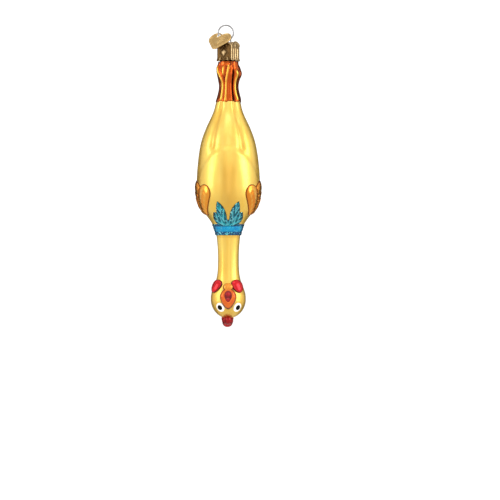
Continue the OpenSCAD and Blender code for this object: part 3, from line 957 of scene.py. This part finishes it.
def cap():
    """Pressed cap: four arched sides, ribs or a lozenge, a scalloped foot, a crossed top."""
    co = np.array([v.co for v in frame["nodes"]["cap"].data.vertices], float)
    corner = np.hypot(co[:, 0] - ORIGIN.x, co[:, 1] - ORIGIN.y).max() / MM
    half = corner / CORNER_SHARE
    columns = 384
    around = circle(columns)[None, :]
    square = np.abs(np.cos(around)) ** SQUARENESS + np.abs(np.sin(around)) ** SQUARENESS
    flat = half / square ** (1 / SQUARENESS)
    quarter = (around + TURN / 8) % (TURN / 4) - TURN / 8
    across = np.clip(np.tan(quarter), -1, 1)
    face = np.round(around / (TURN / 4)).astype(int) % 4
    brim = CAP_TOP - ARCH * across ** 2
    foot = CAP_LOW + 0.45 * (1 - np.abs(np.cos(across * math.pi * 1.5)))

    def side_relief(v):
        rise = (brim - CAP_LOW) * (1 - v)
        rim = 0.20 * window(rise, 0.05, 0.55, 0.12)
        panel = window(np.abs(across) + 0 * v, -1, 0.80, 0.05) * window(v, 0.06, 0.90, 0.03)
        ribs = sum(0.24 * bell(across - line, 0.075) for line in (-0.44, 0.0, 0.44))
        ribs = ribs * window(v, 0.05, 0.64, 0.04)
        ribs += 0.22 * bell(np.hypot(across, (v - 0.78) * 2), 0.16)
        lozenge = np.abs(across) / 0.46 + np.abs(v - 0.42) / 0.27
        gem = 0.34 * unit(1 - lozenge) ** 0.7 + 0.16 * bell(lozenge - 1.25, 0.12)
        petal_v, petal_x = np.where(v > 0.5, 0.80, 0.12), np.where(v > 0.5, 0.325, 0.5)
        for line in (-petal_x, petal_x):
            gem = gem + 0.22 * bell(np.hypot((across - line) * 1.2, (v - petal_v) * 2), 0.17)
        return np.where(face % 2 == 1, gem, ribs) - 0.10 * panel + rim

    def flare(v):
        return 0.30 * (1 - ease(v, 0.0, 0.16))

    def top_ring(share):
        """A ring of the crossed vault over the four sides."""
        x, y = rim[:, 0] * share, rim[:, 1] * share
        return x, y, CAP_TOP - ARCH * (np.minimum(np.abs(x), np.abs(y)) / half) ** 2

    rows, vault_rows, inner_rows = 90, 26, 14
    v = np.linspace(0, 1, rows)[:, None]
    pattern = side_relief(v)
    out = flat + pattern + flare(v)
    side = xyz(out * np.cos(around), out * np.sin(around), foot + (brim - foot) * v)
    rings = [side.reshape(-1, 3)]
    # The lozenge sides are coloured darker than the ribbed sides
    face_tone = np.where(face % 2 == 1, 0.80, 0.12)
    shade = [unit(face_tone - 3.4 * pattern).ravel()]
    rim = side[-1]
    for g in np.linspace(0.97, 0.04, vault_rows):
        x, y, z = top_ring(g)
        boss = 0.12 * bell(np.hypot(x, y) - 2.6, 0.25)
        rings.append(xyz(x, y, z - 0.30 * ease(g, 0.99, 0.93) + boss))
        shade.append(np.full(columns, 0.35) - 1.5 * boss)
    outer_rows = rows + vault_rows
    inner = []
    for g in np.linspace(0.04, 0.9, vault_rows - inner_rows):
        x, y, z = top_ring(g)
        inner.append(xyz(x, y, z - 0.7))
    for w in np.linspace(0.88, 0.0, inner_rows):
        out = flat[0] - CAP_WALL + flare(w)
        z = foot[0] + (brim[0] - foot[0]) * w
        inner.append(xyz(out * np.cos(around[0]), out * np.sin(around[0]), z))
    points = np.vstack(rings + inner + [[[0, 0, CAP_TOP - 0.3]], [[0, 0, CAP_TOP - 0.7]]])
    # Painted shade: the inside of the cap is at its darkest
    shades = np.concatenate(shade + [np.ones(len(inner) * columns), [0.35, 1.0]])
    faces = grid(outer_rows, columns)
    faces += fan(len(points) - 2, (outer_rows - 1) * columns, columns)
    start = outer_rows * columns
    faces += grid(len(inner), columns, start) + fan(len(points) - 1, start, columns)
    faces += bridge(start + (len(inner) - 1) * columns, 0, columns)
    points = points @ np.array(Matrix.Rotation(-CAP_TURN, 3, "Z")).T
    add_piece("cap_pressed", points, faces, "cap", CAP_BRASS, shades, "cap")


def tube(path, radius, sides):
    """A round bar along a path in the plane of x and h: its points and faces."""
    path = np.asarray(path, float)
    ahead = np.gradient(path, axis=0)
    ahead /= np.linalg.norm(ahead, axis=1)[:, None]
    across = xyz(-ahead[:, 2], np.zeros(len(path)), ahead[:, 0])
    level = np.cross(ahead, across)
    angle = circle(sides)
    rings = []
    for i in range(len(path)):
        rings.append(path[i] + radius * (np.cos(angle)[:, None] * across[i]
                                         + np.sin(angle)[:, None] * level[i]))
    points = np.vstack(rings + [[path[0] - 0.6 * radius * ahead[0]],
                                [path[-1] + 0.6 * radius * ahead[-1]]])
    return points, barrel(len(path), sides)


def wire():
    """One spring wire: two legs with small feet, and a ring wound over the left leg."""
    wire_low, wire_high = low("hanger_wire"), high("hanger_wire")
    radius = (wire_high.y - wire_low.y) / 2 / MM
    ring_left = (wire_low.x - ORIGIN.x) / MM
    leg_x = -ORIGIN.x / MM
    ring_r = leg_x - ring_left - radius
    ring_h = height(wire_high.z) - radius - ring_r
    foot_h = height(wire_low.z) + radius
    foot_x = abs(leg_x) + 1.1
    gap = math.asin(2 * abs(leg_x) / ring_r)
    sweep = np.linspace(0, TURN - gap, 300)
    ring = [(leg_x - ring_r * math.sin(a), 0, ring_h - ring_r * math.cos(a)) for a in sweep]
    up = [(leg_x, 0, h) for h in np.linspace(foot_h, ring_h - ring_r, 120)]
    down = [(-leg_x, 0, h) for h in np.linspace(ring[-1][2], foot_h, 120)]
    feet = np.linspace(foot_x, abs(leg_x), 14)[:-1]
    path = ([(-x, 0, foot_h) for x in feet] + up + ring[1:] + down[1:]
            + [(x, 0, foot_h) for x in feet[::-1]])
    path = np.array(path)
    soft = np.stack([smoothed(path[:, i], 3) for i in range(3)], -1)
    points, faces = tube(soft, radius, 28)
    add_piece("hanger_wire_bent", points, faces, "hanger_wire", STEEL,
              body="hanger")


TAG_ANGLES = (math.radians(32), math.radians(50), math.radians(-50))
TAG_WIDTH = 12.9
TAG_LOBE = TAG_WIDTH / (2 + math.sqrt(2))
TAG_ROLL = 0.38
TAG_SHEET, TAG_EDGE = 0.14, 0.04
TAG_BLUNT = 1.0
TAG_HOLE_INSET = 1.55
TAG_HOLE_TURN = math.radians(-20)


def heart_edge(angle, centre):
    """Distance from a point in the heart to its outline."""
    half = TAG_LOBE * math.sqrt(2)
    hub = 0.62 * TAG_WIDTH

    def inside(x, y):
        square = np.abs(x) + np.abs(y - half) < half
        lobes = np.hypot(np.abs(x) - half / 2, y - 1.5 * half) < TAG_LOBE
        return (square | lobes) & (np.hypot(x, y - hub) < hub - TAG_BLUNT)

    return outline(inside, angle, centre, TAG_WIDTH)


def hung(points):
    """Points round the tag's hole, in the tag's plane, as it hangs on the ring."""
    roll, lean, spin = TAG_ANGLES
    turn = Matrix.Rotation(-roll, 3, "Y") @ Matrix.Rotation(-lean, 3, "X")
    turn = turn @ Matrix.Rotation(-spin, 3, "Y") @ Matrix.Rotation(math.pi / 2, 3, "X")
    joint = next(j for j in frame["joints"] if j["name"] == "tag_swing")
    return points @ np.array(turn).T + np.array((Vector(joint["pos_m"]) - ORIGIN) / MM)


def tag():
    """Pressed heart with a rolled edge, a punched hole and a plain sprig of leaves."""
    centre = (0.0, 0.56 * TAG_WIDTH)
    off = TAG_LOBE - TAG_HOLE_INSET
    hole = (-TAG_LOBE * math.sqrt(0.5) - off * math.sin(TAG_HOLE_TURN),
            TAG_LOBE * 3 * math.sqrt(0.5) + off * math.cos(TAG_HOLE_TURN))
    spokes, rings = 240, 60
    angle = circle(spokes)
    edge = heart_edge(angle, centre)
    share = np.concatenate([np.linspace(0, 0.86, rings - 22)[1:], np.linspace(0.87, 1, 22)])
    rings = len(share)
    reach = share[:, None] * edge[None, :]
    x = centre[0] + reach * np.cos(angle)
    y = centre[1] + reach * np.sin(angle)
    x, y = np.append(x.ravel(), centre[0]), np.append(y.ravel(), centre[1])
    share = np.append(np.repeat(share, spokes), 0)
    inset = (1 - share) * np.append(np.tile(edge, rings), 1)
    eyelet = bell(np.hypot(x - hole[0], y - hole[1]) - 1.30, 0.20)
    rolled = dome((inset - TAG_ROLL) / TAG_ROLL, 2)
    stem_x, stem_y = 0.4, centre[1]
    sprig = 0.8 * bell(x - stem_x, 0.16) * window(y, stem_y - 3.0, stem_y + 2.2, 0.3)
    for up in (-1.6, -0.2, 1.2):
        for way in (-1, 1):
            leaf = capsule(x, y, (stem_x + 0.2 * way, stem_y + up),
                           (stem_x + 1.9 * way, stem_y + up + 1.2), 0.55)
            sprig = np.maximum(sprig, np.sqrt(unit(leaf)))
    sprig = np.maximum(sprig, bell(np.hypot(x - stem_x, y - stem_y - 2.9), 0.5))
    ring_line = 0.5 * bell(inset - 1.35, 0.12)
    pressed = 0.22 * np.maximum(rolled, 0.75 * eyelet)
    pressed += 0.24 * (sprig + ring_line) * (inset > 0.9)
    front = np.where(share >= 1, TAG_EDGE, TAG_SHEET + pressed)
    back = np.where(share >= 1, TAG_EDGE, TAG_SHEET + 0.22 * rolled)
    points = np.vstack([xyz(x, y, front), xyz(x, y, -back)])
    count = rings * spokes
    faces = grid(rings, spokes) + fan(count, 0, spokes)
    faces += grid(rings, spokes, count + 1) + fan(2 * count + 1, count + 1, spokes)
    faces += bridge(count - spokes, 2 * count + 1 - spokes, spokes)
    points = hung(points - [*hole, 0])
    shade = unit(0.36 - 3.0 * pressed)
    shade = np.concatenate([shade, unit(0.6 - 2.5 * rolled)])
    punch(add_piece("heart_tag_pressed", points, faces, "heart_tag", TAG_BRASS, shade,
                    "tag"))


def punch(piece):
    """Cuts the hole that the ring passes through, 1 mm in radius."""
    count, deep = 48, [0, 0, 1.5]
    a = circle(count)
    ring = xyz(np.cos(a), np.sin(a), 0 * a)
    points = np.vstack([ring - deep, ring + deep, -np.array([deep]), [deep]])
    tool = new_object("punch", closed_mesh("punch", hung(points), barrel(2, count)))
    cut = piece.modifiers.new("hole", "BOOLEAN")
    cut.operation = "DIFFERENCE"
    cut.solver = "EXACT"
    cut.object = tool
    bpy.context.view_layer.objects.active = piece
    bpy.ops.object.modifier_apply(modifier=cut.name)
    bpy.data.objects.remove(tool)


# ---- Everything ----

glass_figure()
SPLIT = math.degrees(math.asin(LEG_SPLIT / ANKLE_R))
HALF_GROOVE = 1.2
BACK_SPLIT = 180 - SPLIT
leg("left_leg_skin", BACK_SPLIT + HALF_GROOVE - 360, SPLIT - HALF_GROOVE)
leg("right_leg_skin", SPLIT + HALF_GROOVE, BACK_SPLIT - HALF_GROOVE)
for side, word in ((-1, "left"), (1, "right")):
    wing(word + "_wing", side)
    feathers(word + "_feathers", side)
    eye(word + "_eye", word + "_pupil")
collar()
wattle("left_wattle", -57, 10, 7.4)
wattle("right_wattle", 41, -10, 7.0)
beak()
comb()
cap()
wire()
tag()


# ---- Floor, light and camera ----

def plain(name, level, rough):
    """A matt grey of one linear level, very slightly mottled."""
    look = Look(name, Roughness=rough)
    look.colour(look.mix(look.noise(3), (*[level] * 3, 1), (*[level * 0.98] * 3, 1)))
    return look.material


def sheet(name, points, faces, look):
    mesh = bpy.data.meshes.new(name)
    mesh.from_pydata([tuple(p) for p in points], [], faces)
    mesh.materials.append(look)
    return new_object(name, mesh)


def floor():
    """A pale disc a little under the comb, because the ornament hangs."""
    drop, reach, columns = 0.045, 6.0, 96
    angle = circle(columns)
    z = ORIGIN.z - drop
    points = [(reach * math.cos(a), reach * math.sin(a), z) for a in angle] + [(0, 0, z)]
    piece = sheet("floor", points, fan(columns, 0, columns), plain("pale_floor", 0.93, 0.7))
    piece.visible_glossy = False


def lamp(name, azimuth, elevation, distance, width, tall, watts):
    """A soft box aimed at the ornament. Azimuth 0 is in front and 90 to the right."""
    light = bpy.data.lights.new(name, "AREA")
    light.shape = "RECTANGLE"
    light.size, light.size_y = width, tall
    light.energy = watts
    box = new_object(name, light)
    a, e = math.radians(azimuth), math.radians(elevation)
    aim = Vector((math.sin(a) * math.cos(e), -math.cos(a) * math.cos(e), math.sin(e)))
    box.location = TARGET + aim * distance
    box.rotation_mode = "QUATERNION"
    box.rotation_quaternion = aim.to_track_quat("Z", "Y")
    box.visible_camera = False


def card(name, azimuth, distance, width, tall):
    """A dark card that only reflections see."""
    a = math.radians(azimuth)
    out = np.array([math.sin(a), -math.cos(a), 0.0])
    along = np.array([math.cos(a), math.sin(a), 0.0])
    centre = np.array(TARGET) + out * distance
    corners = [centre + along * w * width / 2 + np.array([0, 0, t * tall / 2])
               for w, t in ((-1, -1), (1, -1), (1, 1), (-1, 1))]
    piece = sheet(name, corners, [(0, 1, 2, 3)], plain(name + "_cloth", 0.02, 0.9))
    piece.visible_camera = False
    piece.visible_diffuse = False
    piece.visible_shadow = False


TARGET = (Vector(cad_box[0]) + Vector(cad_box[1])) / 2
PALE_LEVEL = 1.25
ROOM_LEVEL = 0.74
ROOM_COLOUR = (1.0, 0.94, 0.84, 1)
# Each soft box: azimuth, elevation, distance, width and height in metres, and watts
LAMPS = {
    "left_box": (-66, 15, 0.55, 0.26, 0.36, 0.68),
    "right_box": (66, 16, 0.55, 0.28, 0.40, 0.92),
    "front_box": (4, 12, 0.8, 0.34, 0.70, 0.42),
    "front_top": (0, 62, 0.7, 0.5, 0.3, 0.6),
}


def studio():
    """Pale surroundings, which reflections see as a dimmer, warmer room, and soft boxes."""
    scene = bpy.context.scene
    scene.view_settings.view_transform = "Standard"
    scene.view_settings.look = "None"
    world = bpy.data.worlds.new("studio")
    scene.world = world
    world.use_nodes = True
    tree = world.node_tree
    pale, room = tree.nodes["Background"], tree.nodes.new("ShaderNodeBackground")
    for part, colour, level in ((pale, (1, 1, 1, 1), PALE_LEVEL), (room, ROOM_COLOUR, ROOM_LEVEL)):
        part.inputs["Color"].default_value = colour
        part.inputs["Strength"].default_value = level
    ray = tree.nodes.new("ShaderNodeLightPath")
    either = tree.nodes.new("ShaderNodeMixShader")
    tree.links.new(ray.outputs["Is Glossy Ray"], either.inputs[0])
    tree.links.new(pale.outputs[0], either.inputs[1])
    tree.links.new(room.outputs[0], either.inputs[2])
    tree.links.new(either.outputs[0], tree.nodes["World Output"].inputs[0])
    for name, setting in LAMPS.items():
        lamp(name, *setting)
    for azimuth in (-146, 146):
        card("dark_card_%d" % (azimuth > 0), azimuth, 0.45, 0.34, 0.8)


LENS = 150.0
SENSOR = 36.0
VIEW_WIDTH = 0.2468
LOOK_RIGHT = 0.0107
LOOK_DOWN = 0.0366


def camera():
    """A long level lens. The ornament hangs high and left in the picture."""
    made = bpy.data.cameras.new("camera")
    made.lens = LENS
    made.sensor_width = SENSOR
    made.clip_start, made.clip_end = 0.05, 20
    piece = new_object("camera", made)
    distance = VIEW_WIDTH * LENS / SENSOR
    piece.location = (ORIGIN.x + LOOK_RIGHT, -distance, TARGET.z - LOOK_DOWN)
    piece.rotation_euler = (math.pi / 2, 0, 0)
    bpy.context.scene.camera = piece


floor()
studio()
camera()
